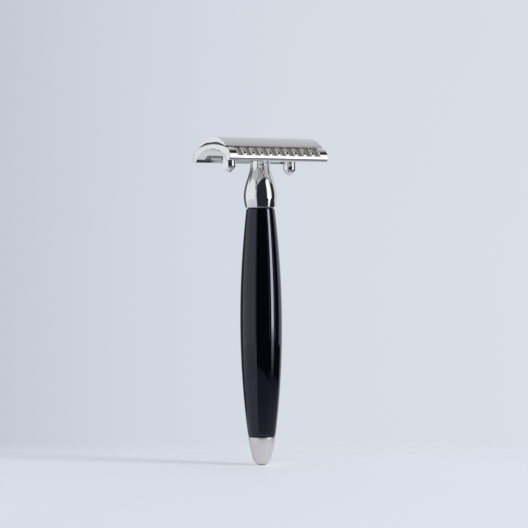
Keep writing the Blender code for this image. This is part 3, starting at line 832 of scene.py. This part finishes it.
def polished_metal():
    surface = Surface("polished_metal", (0.80, 0.785, 0.77), 0.05, 1.0)
    tone = surface.noise(90.0, 3.0)
    surface.set_colour(surface.mixed_colour(tone, (0.785, 0.768, 0.752), (0.815, 0.798, 0.782)))
    smudge = surface.ranged(surface.noise(160.0, 4.0), 0.35, 0.75, 0.03, 0.05)
    hairline = surface.ranged(surface.noise(2500.0, 2.0, (0.03, 1.0, 1.0)), 0.66, 0.8, 0.0, 0.03)
    surface.set_roughness(surface.add(smudge, hairline))
    surface.set_bump(surface.noise(900.0, 2.0), 0.1e-6)
    return surface.material


def satin_metal():
    surface = Surface("satin_metal", (0.66, 0.655, 0.66), 0.3, 1.0)
    surface.shader.inputs["Anisotropic"].default_value = 0.35
    tone = surface.noise(300.0, 4.0, (1.0, 1.0, 4.0))
    surface.set_colour(surface.mixed_colour(tone, (0.72, 0.68, 0.66), (0.77, 0.73, 0.71)))
    grain = surface.noise(9000.0, 2.0, (0.08, 0.08, 1.0))
    surface.set_roughness(surface.ranged(grain, 0.3, 0.7, 0.27, 0.36))
    surface.set_bump(grain, 1.2e-6)
    return surface.material


def blade_steel():
    surface = Surface("blade_steel", (0.58, 0.55, 0.52), 0.22, 1.0)
    grain = surface.noise(7000.0, 3.0, (0.02, 1.0, 1.0))
    surface.set_colour(surface.mixed_colour(grain, (0.52, 0.49, 0.46), (0.64, 0.61, 0.58)))
    surface.set_roughness(surface.ranged(grain, 0.3, 0.7, 0.16, 0.28))
    surface.set_bump(grain, 0.8e-6)
    return surface.material


def plain_steel():
    surface = Surface("plain_steel", (0.50, 0.49, 0.46), 0.35, 1.0)
    tone = surface.noise(400.0, 4.0)
    surface.set_colour(surface.mixed_colour(tone, (0.44, 0.43, 0.40), (0.56, 0.55, 0.52)))
    surface.set_roughness(surface.ranged(tone, 0.3, 0.7, 0.28, 0.42))
    surface.set_bump(surface.noise(8000.0, 2.0, (0.1, 0.1, 1.0)), 2.0e-6)
    return surface.material


def black_resin():
    surface = Surface("black_resin", (0.001, 0.001, 0.0015), 0.035, 0.0, 1.58)
    surface.shader.inputs["Specular Tint"].default_value = (0.78, 0.80, 1.0, 1.0)
    depth = surface.noise(70.0, 3.0)
    surface.set_colour(surface.mixed_colour(depth, (0.0004, 0.0005, 0.0008), (0.0012, 0.0014, 0.0020)))
    smudge = surface.ranged(surface.noise(110.0, 4.0), 0.4, 0.75, 0.03, 0.06)
    hairline = surface.ranged(surface.noise(4200.0, 2.0, (1.0, 1.0, 0.04)), 0.64, 0.8, 0.0, 0.05)
    surface.set_roughness(surface.add(smudge, hairline))
    surface.set_bump(surface.noise(600.0, 2.0), 0.4e-6)
    return surface.material


def black_fibre():
    surface = Surface("black_fibre", (0.02, 0.02, 0.022), 0.65, 0.0)
    grain = surface.noise(6000.0, 4.0, (1.0, 1.0, 0.3))
    surface.set_colour(surface.mixed_colour(grain, (0.012, 0.012, 0.013), (0.032, 0.031, 0.032)))
    surface.set_roughness(surface.ranged(grain, 0.3, 0.7, 0.5, 0.8))
    surface.set_bump(grain, 12.0e-6)
    return surface.material


# Studio -------------------------------------------------------------------------------------


def studio_direction(azimuth, elevation=0.0):
    """Unit vector from the razor. Azimuth 0 is towards the camera, and 90 is to its right."""
    turn = math.radians(azimuth)
    rise = math.radians(elevation)
    to_camera = Vector((-math.sin(CAMERA_YAW), -math.cos(CAMERA_YAW), 0.0))
    to_right = Vector((math.cos(CAMERA_YAW), -math.sin(CAMERA_YAW), 0.0))
    level = to_camera * math.cos(turn) + to_right * math.sin(turn)
    return level * math.cos(rise) + Vector((0.0, 0.0, math.sin(rise)))


def glow_material(name, colour):
    material = bpy.data.materials.new(name)
    material.use_nodes = True
    nodes = material.node_tree.nodes
    nodes.clear()
    glow = nodes.new("ShaderNodeEmission")
    glow.inputs["Color"].default_value = (*colour, 1.0)
    glow.inputs["Strength"].default_value = 1.0
    output = nodes.new("ShaderNodeOutputMaterial")
    material.node_tree.links.new(glow.outputs["Emission"], output.inputs["Surface"])
    return material


def studio_card(name, azimuths, elevations, colour, radius=STUDIO_RADIUS):
    """A curved card round the razor that shows only in reflections."""
    steps = 16
    bm = bmesh.new()
    rows = []
    for row in range(steps + 1):
        elevation = elevations[0] + (elevations[1] - elevations[0]) * row / steps
        points = []
        for column in range(steps + 1):
            azimuth = azimuths[0] + (azimuths[1] - azimuths[0]) * column / steps
            points.append(bm.verts.new(STUDIO_CENTRE + studio_direction(azimuth, elevation) * radius))
        rows.append(points)
    for low, high in zip(rows, rows[1:]):
        for column in range(steps):
            bm.faces.new((low[column], low[column + 1], high[column + 1], high[column]))
    mesh = bpy.data.meshes.new(name)
    bm.to_mesh(mesh)
    bm.free()
    mesh.materials.append(glow_material(name, colour))
    card = make_object(name, mesh)
    reflections_only(card)
    return card


def reflections_only(thing):
    thing.visible_camera = False
    thing.visible_diffuse = False
    thing.visible_shadow = False


def make_world():
    """A pale backdrop all round, a little darker to the camera's left and overhead."""
    world = bpy.data.worlds.new("studio")
    bpy.context.scene.world = world
    world.use_nodes = True
    nodes = world.node_tree.nodes
    links = world.node_tree.links
    nodes.clear()
    direction = nodes.new("ShaderNodeTexCoord").outputs["Generated"]

    def component(axis):
        dot = nodes.new("ShaderNodeVectorMath")
        dot.operation = "DOT_PRODUCT"
        dot.inputs[1].default_value = axis
        links.new(direction, dot.inputs[0])
        return dot.outputs["Value"]

    def ramp(value, stops):
        node = nodes.new("ShaderNodeValToRGB")
        node.color_ramp.interpolation = "LINEAR"
        while len(node.color_ramp.elements) < len(stops):
            node.color_ramp.elements.new(0.5)
        for element, (position, colour) in zip(node.color_ramp.elements, stops):
            element.position = position
            element.color = (*colour, 1.0)
        links.new(value, node.inputs["Fac"])
        return node.outputs["Color"]

    def ranged(value, low, high):
        node = nodes.new("ShaderNodeMapRange")
        node.inputs["From Min"].default_value = low
        node.inputs["From Max"].default_value = high
        links.new(value, node.inputs["Value"])
        return node.outputs["Result"]

    sideways = ranged(component(studio_direction(90)), -0.30, 0.15)
    tone = ramp(
        sideways,
        (
            (0.0, (0.44, 0.465, 0.53)),
            (0.40, (0.565, 0.592, 0.665)),
            (0.52, (0.631, 0.658, 0.735)),
            (0.67, (0.675, 0.707, 0.777)),
            (1.0, (0.705, 0.740, 0.803)),
        ),
    )
    upwards = ranged(component((0.0, 0.0, 1.0)), 0.0, 1.0)
    dimming = ((0.0, 1.0), (0.30, 0.97), (0.75, 0.78), (1.0, 0.5))
    fall = ramp(upwards, [(position, (share, share, share)) for position, share in dimming])
    product = nodes.new("ShaderNodeMix")
    product.data_type = "RGBA"
    product.blend_type = "MULTIPLY"
    product.inputs["Factor"].default_value = 1.0
    links.new(tone, product.inputs["A"])
    links.new(fall, product.inputs["B"])
    background = nodes.new("ShaderNodeBackground")
    links.new(product.outputs["Result"], background.inputs["Color"])
    output = nodes.new("ShaderNodeOutputWorld")
    links.new(background.outputs["Background"], output.inputs["Surface"])


def make_floor():
    """A pale table top that fades into the backdrop a little way behind the razor."""
    bm = bmesh.new()
    bmesh.ops.create_circle(bm, cap_ends=True, radius=FLOOR_RADIUS, segments=96)
    mesh = bpy.data.meshes.new("floor")
    bm.to_mesh(mesh)
    bm.free()
    floor = make_object("floor", mesh)
    material = bpy.data.materials.new("floor")
    material.use_nodes = True
    nodes = material.node_tree.nodes
    links = material.node_tree.links
    shader = nodes["Principled BSDF"]
    shader.inputs["Base Color"].default_value = (0.84, 0.86, 0.89, 1.0)
    shader.inputs["Roughness"].default_value = 0.8
    shader.inputs["Specular IOR Level"].default_value = 0.2
    shader.inputs["Emission Color"].default_value = (0.195, 0.20, 0.212, 1.0)
    shader.inputs["Emission Strength"].default_value = 1.0
    place = nodes.new("ShaderNodeTexCoord").outputs["Object"]
    depth = nodes.new("ShaderNodeVectorMath")
    depth.operation = "DOT_PRODUCT"
    depth.inputs[1].default_value = studio_direction(180)
    links.new(place, depth.inputs[0])
    fade = nodes.new("ShaderNodeMapRange")
    fade.interpolation_type = "SMOOTHSTEP"
    fade.inputs["From Min"].default_value = 0.01
    fade.inputs["From Max"].default_value = 0.11
    links.new(depth.outputs["Value"], fade.inputs["Value"])
    clear = nodes.new("ShaderNodeBsdfTransparent")
    mix = nodes.new("ShaderNodeMixShader")
    links.new(fade.outputs["Result"], mix.inputs["Fac"])
    links.new(shader.outputs["BSDF"], mix.inputs[1])
    links.new(clear.outputs["BSDF"], mix.inputs[2])
    links.new(mix.outputs["Shader"], nodes["Material Output"].inputs["Surface"])
    mesh.materials.append(material)
    return floor


def make_softbox(receivers):
    """The main light: an upright soft box to the right of the camera, hot enough to show on the resin.

    The polished metal doesn't see the lamp, only the evenly lit card behind it, so it reflects cleanly.
    """
    light = bpy.data.lights.new("softbox", "AREA")
    light.shape = "RECTANGLE"
    light.size = 2 * STUDIO_RADIUS * math.tan(math.radians(SOFTBOX_HALF_WIDTH))
    light.size_y = 2 * STUDIO_RADIUS * math.tan(math.radians(SOFTBOX_HALF_HEIGHT))
    light.energy = SOFTBOX_RADIANCE * math.pi * light.size * light.size_y
    lamp = bpy.data.objects.new("softbox", light)
    bpy.context.scene.collection.objects.link(lamp)
    middle = STUDIO_CENTRE + studio_direction(*SOFTBOX_MIDDLE) * STUDIO_RADIUS
    lamp.location = middle
    facing = (STUDIO_CENTRE - middle).normalized()
    lamp.rotation_euler = facing.to_track_quat("-Z", "Y").to_euler()
    lamp.visible_camera = False
    lit = bpy.data.collections.new("lit_by_softbox")
    for thing in receivers:
        lit.objects.link(thing)
    lamp.light_linking.receiver_collection = lit


def floor_card(name, azimuths, nears, far, near_colour, far_colour, height=FLOOR_CARD_HEIGHT):
    """A flat card just over the table that shows only in reflections, shaded from its near to its far edge.

    The near edge is at the first distance in nears at the card's left end and at the second at its right.
    """
    steps = 16
    bm = bmesh.new()
    rows = ([], [])
    for column in range(steps + 1):
        share = column / steps
        azimuth = azimuths[0] + (azimuths[1] - azimuths[0]) * share
        near = nears[0] + (nears[1] - nears[0]) * share
        for row, radius in zip(rows, (near, far)):
            point = studio_direction(azimuth) * radius
            row.append(bm.verts.new((point.x, point.y, height)))
    for column in range(steps):
        bm.faces.new((rows[0][column], rows[0][column + 1], rows[1][column + 1], rows[1][column]))
    mesh = bpy.data.meshes.new(name)
    bm.to_mesh(mesh)
    bm.free()
    material = glow_material(name, near_colour)
    nodes = material.node_tree.nodes
    links = material.node_tree.links
    place = nodes.new("ShaderNodeTexCoord").outputs["Object"]
    length = nodes.new("ShaderNodeVectorMath")
    length.operation = "LENGTH"
    links.new(place, length.inputs[0])
    share = nodes.new("ShaderNodeMapRange")
    share.inputs["From Min"].default_value = min(nears)
    share.inputs["From Max"].default_value = far
    links.new(length.outputs["Value"], share.inputs["Value"])
    blend = nodes.new("ShaderNodeMix")
    blend.data_type = "RGBA"
    links.new(share.outputs["Result"], blend.inputs["Factor"])
    blend.inputs["A"].default_value = (*near_colour, 1.0)
    blend.inputs["B"].default_value = (*far_colour, 1.0)
    links.new(blend.outputs["Result"], nodes["Emission"].inputs["Color"])
    mesh.materials.append(material)
    card = make_object(name, mesh)
    reflections_only(card)


def make_studio(grip, tip):
    make_world()
    floor = make_floor()
    make_softbox((grip, tip, floor))
    card = studio_card("softbox_card", (50, 79), (-9, 35), (1.22, 1.22, 1.22), radius=STUDIO_RADIUS + 0.25)
    seen_by = bpy.data.collections.new("all_but_the_grip")
    seen_by.objects.link(grip)
    seen_by.collection_objects[0].light_linking.link_state = "EXCLUDE"
    card.light_linking.receiver_collection = seen_by
    studio_card("white_wall", (-119, -34), (-10, 60), (0.89, 0.93, 0.98))
    studio_card("black_flag_front", (-26, 47), (-12, 52), BLACK_CARD)
    studio_card("black_flag_right", (84, 114), (-12, 52), BLACK_CARD)
    studio_card("black_flag_over_softbox", (47, 84), (35, 52), BLACK_CARD)
    studio_card("black_flag_high", (-26, 113), (52, 64), BLACK_CARD)
    studio_card("brown_card_high", (113, 136.4), (50, 66), BROWN_CARD)
    studio_card("brown_card_top", (60, 180), (66, 89), BROWN_CARD)
    studio_card("grey_card_high", (136.4, 145), (46, 64), (0.45, 0.43, 0.44))
    studio_card("dark_flag_left_behind", (-160, -124), (-12, 60), (0.10, 0.11, 0.13))
    floor_card("floor_front_near", (-26, 46), (0.035, 0.035), 0.107, (0.34, 0.38, 0.44), (0.19, 0.22, 0.29))
    floor_card("floor_front", (-26, 46), (0.107, 0.107), 0.27, (0.19, 0.22, 0.29), (0.15, 0.18, 0.24))
    black = (BLACK_CARD, BLACK_CARD)
    floor_card("floor_front_black", (-26, 46), (0.267, 0.187), 0.7, *black, FLOOR_BLACK_HEIGHT)
    floor_card("floor_right_near", (46, 130), (0.035, 0.035), 0.12, (0.44, 0.48, 0.52), (0.24, 0.28, 0.33))
    floor_card("floor_right", (46, 130), (0.12, 0.12), 0.24, (0.24, 0.28, 0.33), (0.10, 0.12, 0.15))
    floor_card("floor_right_black", (46, 130), (0.24, 0.24), 0.7, *black)
    floor_card("floor_left", (-119, -34), (0.2, 0.2), 0.7, (0.60, 0.65, 0.72), (0.86, 0.90, 0.95))
    floor_card(
        "contact_shade",
        (-180, 180),
        (CONTACT_SHADE_NEAR, CONTACT_SHADE_NEAR),
        CONTACT_SHADE_FAR,
        (0.10, 0.10, 0.11),
        (0.56, 0.58, 0.62),
        CONTACT_SHADE_HEIGHT,
    )
    # Strips just over the table in line with the soft box, seen only in reflections and glowing brighter
    # towards it: painted light from the soft box on the table.
    strip = (58.5, 73.5)
    glow = (
        (0.22, (0.25, 0.27, 0.31)),
        (0.45, (1.7, 1.7, 1.8)),
        (0.7, (3.0, 3.0, 3.1)),
        (1.3, (8.0, 8.0, 8.0)),
    )
    names = ("softbox_floor_near", "softbox_floor", "softbox_floor_far")
    for name, (near, near_colour), (far, far_colour) in zip(names, glow, glow[1:]):
        floor_card(name, strip, (near, near), far, near_colour, far_colour, SOFTBOX_FLOOR_HEIGHT)


def make_camera():
    camera = bpy.data.objects.new("camera", bpy.data.cameras.new("camera"))
    bpy.context.scene.collection.objects.link(camera)
    camera.data.lens = CAMERA_LENS
    camera.data.clip_start = 0.01
    camera.data.clip_end = 100.0
    ahead = studio_direction(180)
    right = studio_direction(90)
    up = Vector((0.0, 0.0, 1.0))
    tilted_up = up * math.cos(CAMERA_DIP) + ahead * math.sin(CAMERA_DIP)
    tilted_ahead = ahead * math.cos(CAMERA_DIP) - up * math.sin(CAMERA_DIP)
    rolled_right = right * math.cos(CAMERA_ROLL) - tilted_up * math.sin(CAMERA_ROLL)
    rolled_up = right * math.sin(CAMERA_ROLL) + tilted_up * math.cos(CAMERA_ROLL)
    turn = Matrix((rolled_right, rolled_up, -tilted_ahead)).transposed().to_4x4()
    place = right * CAMERA_SIDESTEP - ahead * CAMERA_DISTANCE + up * CAMERA_HEIGHT
    camera.matrix_world = Matrix.Translation(place) @ turn
    bpy.context.scene.camera = camera


# Assembly -----------------------------------------------------------------------------------


def settle(piece, node, body, material):
    """Gives a finished piece its material, hangs it on its body's empty and hides the CAD node it replaces.
    """
    piece.data.materials.clear()
    piece.data.materials.append(material)
    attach(piece, body)
    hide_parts(node)


def build_razor():
    metal = polished_metal()
    fibre = black_fibre()
    handle = (
        ("end_tip", tip_mesh(), "satin_metal", satin_metal()),
        ("lower_washer", washer_mesh("lower_washer"), "black_fibre", fibre),
        ("grip", grip_mesh(), "black_resin", black_resin()),
        ("upper_washer", washer_mesh("upper_washer"), "black_fibre", fibre),
        ("neck_collar", collar_mesh(), "polished_metal", metal),
        ("tie_rod", rod_mesh(), "plain_steel", plain_steel()),
    )
    for node, mesh, slot, material in handle:
        settle(make_object("fine_" + node, mesh), node, "handle", material)
    settle(make_guard_plate(), "guard_plate", "guard", metal)
    left, right = make_corner_posts()
    settle(left, "corner_post_left", "guard", metal)
    settle(right, "corner_post_right", "guard", metal)
    settle(make_blade(), "blade", "blade", blade_steel())
    settle(make_cap(), "top_cap", "cap", metal)
    settle(make_object("fine_cap_stud", stud_mesh()), "cap_stud", "cap", metal)
    for node, side in (("cap_pin_left", -1), ("cap_pin_right", 1)):
        pin = make_object("fine_" + node, moved(pin_mesh(), x=side * PIN_X))
        settle(pin, node, "cap", metal)


build_razor()
make_studio(bpy.data.objects["fine_grip"], bpy.data.objects["fine_end_tip"])
make_camera()
bpy.context.scene.view_settings.view_transform = "Standard"
